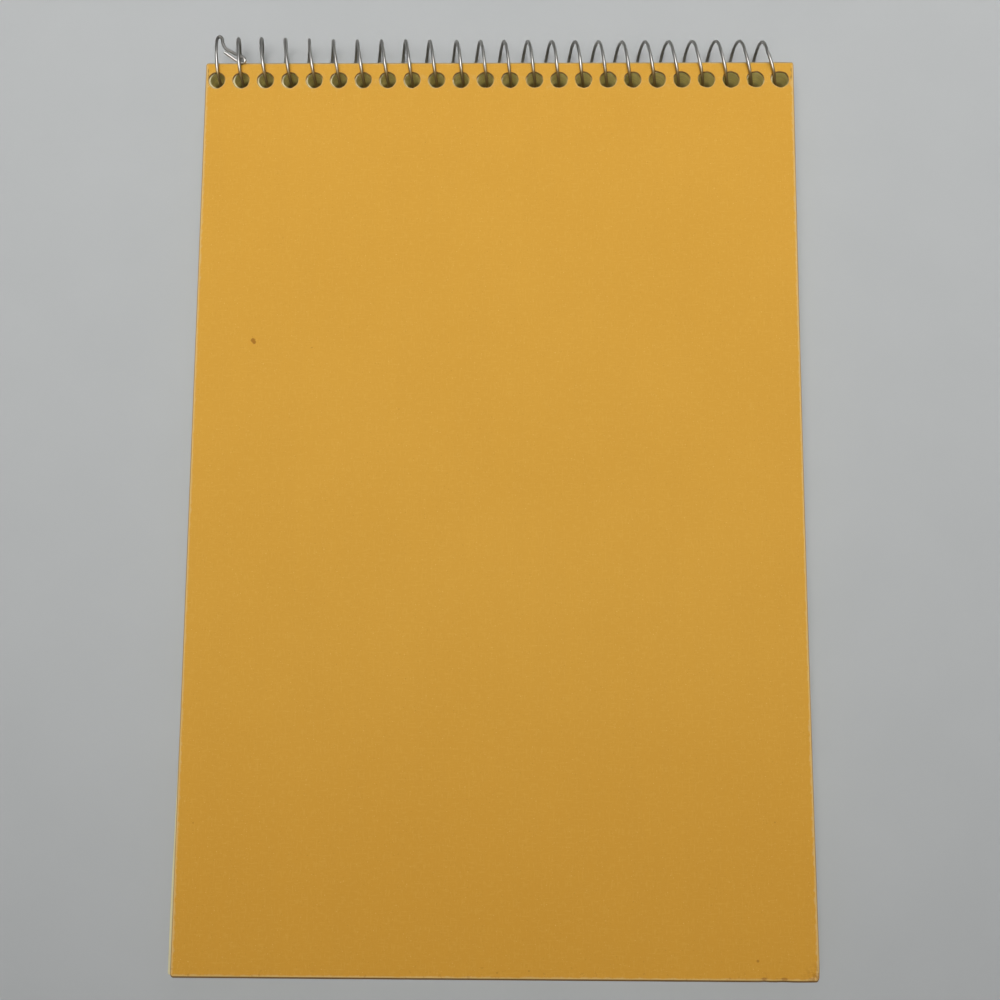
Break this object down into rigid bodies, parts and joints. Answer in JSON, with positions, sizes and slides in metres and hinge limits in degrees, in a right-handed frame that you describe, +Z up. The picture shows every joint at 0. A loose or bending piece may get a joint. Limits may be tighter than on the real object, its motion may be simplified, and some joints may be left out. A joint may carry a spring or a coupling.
{
  "type": "steno pad",
  "caption": "Top-bound steno pad lying face up: plain card front cover, block of paper and back board, held by a steel wire spiral through a row of punched holes.",
  "frame": {"origin": "middle of the pad's footprint, on the surface it lies on", "axes": "+X along the spiral, +Y from the foot of the pad to the spiral, +Z up out of the front cover"},
  "size_m": [0.1524, 0.2368, 0.0144],
  "materials": {
    "paper": "pale cream writing paper with a green tint, uncoated",
    "wire": "drawn steel wire, plain",
    "cover_card": "goldenrod card, uncoated and lightly worn",
    "back_board": "grey-brown pasteboard, uncoated"
  },
  "bodies": {
    "pad": {"page_block": "paper", "coil": "wire"},
    "front_cover": {"front_cover": "cover_card"},
    "back_cover": {"back_cover": "back_board"}
  },
  "joints": [
    {"name": "front_cover_hinge", "type": "hinge", "parent": "pad", "child": "front_cover", "pos_m": [0, 0.11121, 0.0072], "axis": [-1, 0, 0], "range_deg": [0, 180], "deforming": ["coil"]},
    {"name": "back_cover_hinge", "type": "hinge", "parent": "pad", "child": "back_cover", "pos_m": [0, 0.11121, 0.0072], "axis": [1, 0, 0], "range_deg": [0, 180], "deforming": ["coil"]}
  ]
}
